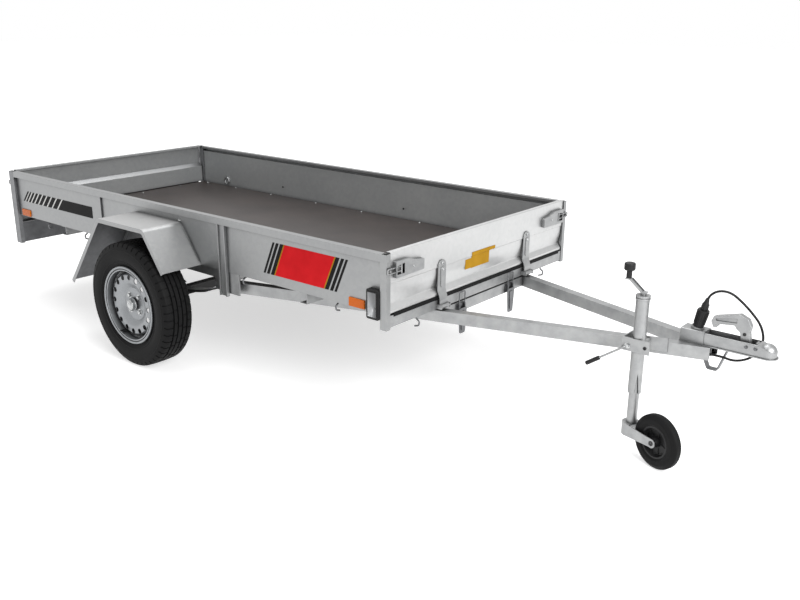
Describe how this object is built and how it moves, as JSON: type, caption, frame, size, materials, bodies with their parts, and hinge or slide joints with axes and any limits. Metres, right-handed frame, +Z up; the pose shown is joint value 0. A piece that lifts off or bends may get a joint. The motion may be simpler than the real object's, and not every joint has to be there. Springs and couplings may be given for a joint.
{
  "type": "utility trailer",
  "caption": "Single-axle tipping utility trailer with folding end boards, mudguards, V drawbar, ball coupling and jockey wheel.",
  "frame": {"origin": "on the ground under the middle of the overall length and width", "axes": "+X forward to the coupling, +Y to the left side, +Z up"},
  "size_m": [3.944, 1.744, 0.726],
  "materials": {
    "galvanised": "hot-dip galvanised sheet and section",
    "plywood": "dark brown film-faced plywood",
    "tyre": "black road tyre",
    "wheel_silver": "silver painted steel",
    "black_steel": "black painted steel",
    "black_plastic": "moulded black plastic",
    "cable_rubber": "black cable sheath",
    "lamp_red": "red lamp lens",
    "lamp_clear": "black housing with a clear lens",
    "reflector_orange": "orange reflector",
    "plate_white": "blank plate"
  },
  "bodies": {
    "drawbar": {"drawbar_arm_right": "galvanised", "drawbar_arm_left": "galvanised", "latch_beam": "galvanised", "tilt_latches": "galvanised", "coupling_head": "galvanised", "coupling_lever": "galvanised", "safety_loop": "galvanised", "jockey_clamp": "galvanised", "clamp_lever": "galvanised", "clamp_grip": "black_plastic", "plug": "black_plastic", "plug_holder": "galvanised", "trailer_cable": "cable_rubber", "cable_gland": "cable_rubber"},
    "bed": {"side_panel_right": "galvanised", "side_panel_left": "galvanised", "rear_posts": "galvanised", "front_posts": "galvanised", "mid_posts": "galvanised", "bed_floor": "plywood", "rear_crossmember": "galvanised", "front_crossmember": "galvanised", "mid_cross_beam": "galvanised", "pivot_pins": "galvanised", "floor_bearers": "galvanised", "spring_rails": "galvanised", "leaf_springs": "black_steel", "spring_clamps": "black_steel", "axle_beam": "black_steel", "mudguard_right": "galvanised", "mudguard_left": "galvanised", "rear_light_panel": "galvanised", "tail_lamps": "lamp_red", "number_plate": "plate_white", "marker_lamps": "lamp_clear", "side_reflectors": "reflector_orange", "rope_hooks": "galvanised", "lashing_rings": "galvanised"},
    "headboard": {"headboard_panel": "galvanised", "headboard_straps": "galvanised", "headboard_latches": "galvanised"},
    "tailgate": {"tailgate_panel": "galvanised", "tailgate_straps": "galvanised", "tailgate_latches": "galvanised"},
    "wheel_right": {"tyre_right": "tyre", "rim_right": "wheel_silver"},
    "wheel_left": {"tyre_left": "tyre", "rim_left": "wheel_silver"},
    "jockey_tube": {"jockey_tube": "galvanised", "jockey_crank": "galvanised", "crank_knob": "black_plastic"},
    "jockey_leg": {"jockey_leg": "galvanised"},
    "jockey_fork": {"jockey_fork": "galvanised"},
    "jockey_wheel": {"jockey_tyre": "tyre", "jockey_hub": "black_plastic"}
  },
  "joints": [
    {"name": "bed_tilt", "type": "hinge", "parent": "drawbar", "child": "bed", "pos_m": [-0.19, 0, 0.406], "axis": [0, -1, 0], "range_deg": [0, 16]},
    {"name": "headboard_fold", "type": "hinge", "parent": "bed", "child": "headboard", "pos_m": [0.77, 0, 0.447], "axis": [0, 1, 0], "range_deg": [0, 90]},
    {"name": "tailgate_fold", "type": "hinge", "parent": "bed", "child": "tailgate", "pos_m": [-1.963, 0, 0.447], "axis": [0, -1, 0], "range_deg": [0, 90]},
    {"name": "wheel_right_spin", "type": "hinge", "parent": "bed", "child": "wheel_right", "pos_m": [-0.602, -0.7945, 0.289], "axis": [0, 1, 0], "continuous": true},
    {"name": "wheel_left_spin", "type": "hinge", "parent": "bed", "child": "wheel_left", "pos_m": [-0.602, 0.7945, 0.289], "axis": [0, 1, 0], "continuous": true},
    {"name": "jockey_clamp_slide", "type": "slide", "parent": "drawbar", "child": "jockey_tube", "axis": [0, 0, 1], "range_m": [-0.1, 0.1]},
    {"name": "jockey_crank_slide", "type": "slide", "parent": "jockey_tube", "child": "jockey_leg", "axis": [0, 0, -1], "range_m": [-0.07, 0.15]},
    {"name": "jockey_swivel", "type": "hinge", "parent": "jockey_leg", "child": "jockey_fork", "pos_m": [1.538, -0.175, 0.12], "axis": [0, 0, 1], "continuous": true},
    {"name": "jockey_wheel_spin", "type": "hinge", "parent": "jockey_fork", "child": "jockey_wheel", "pos_m": [1.66298, -0.22049, 0.102], "axis": [0.342, 0.9397, 0], "continuous": true}
  ]
}
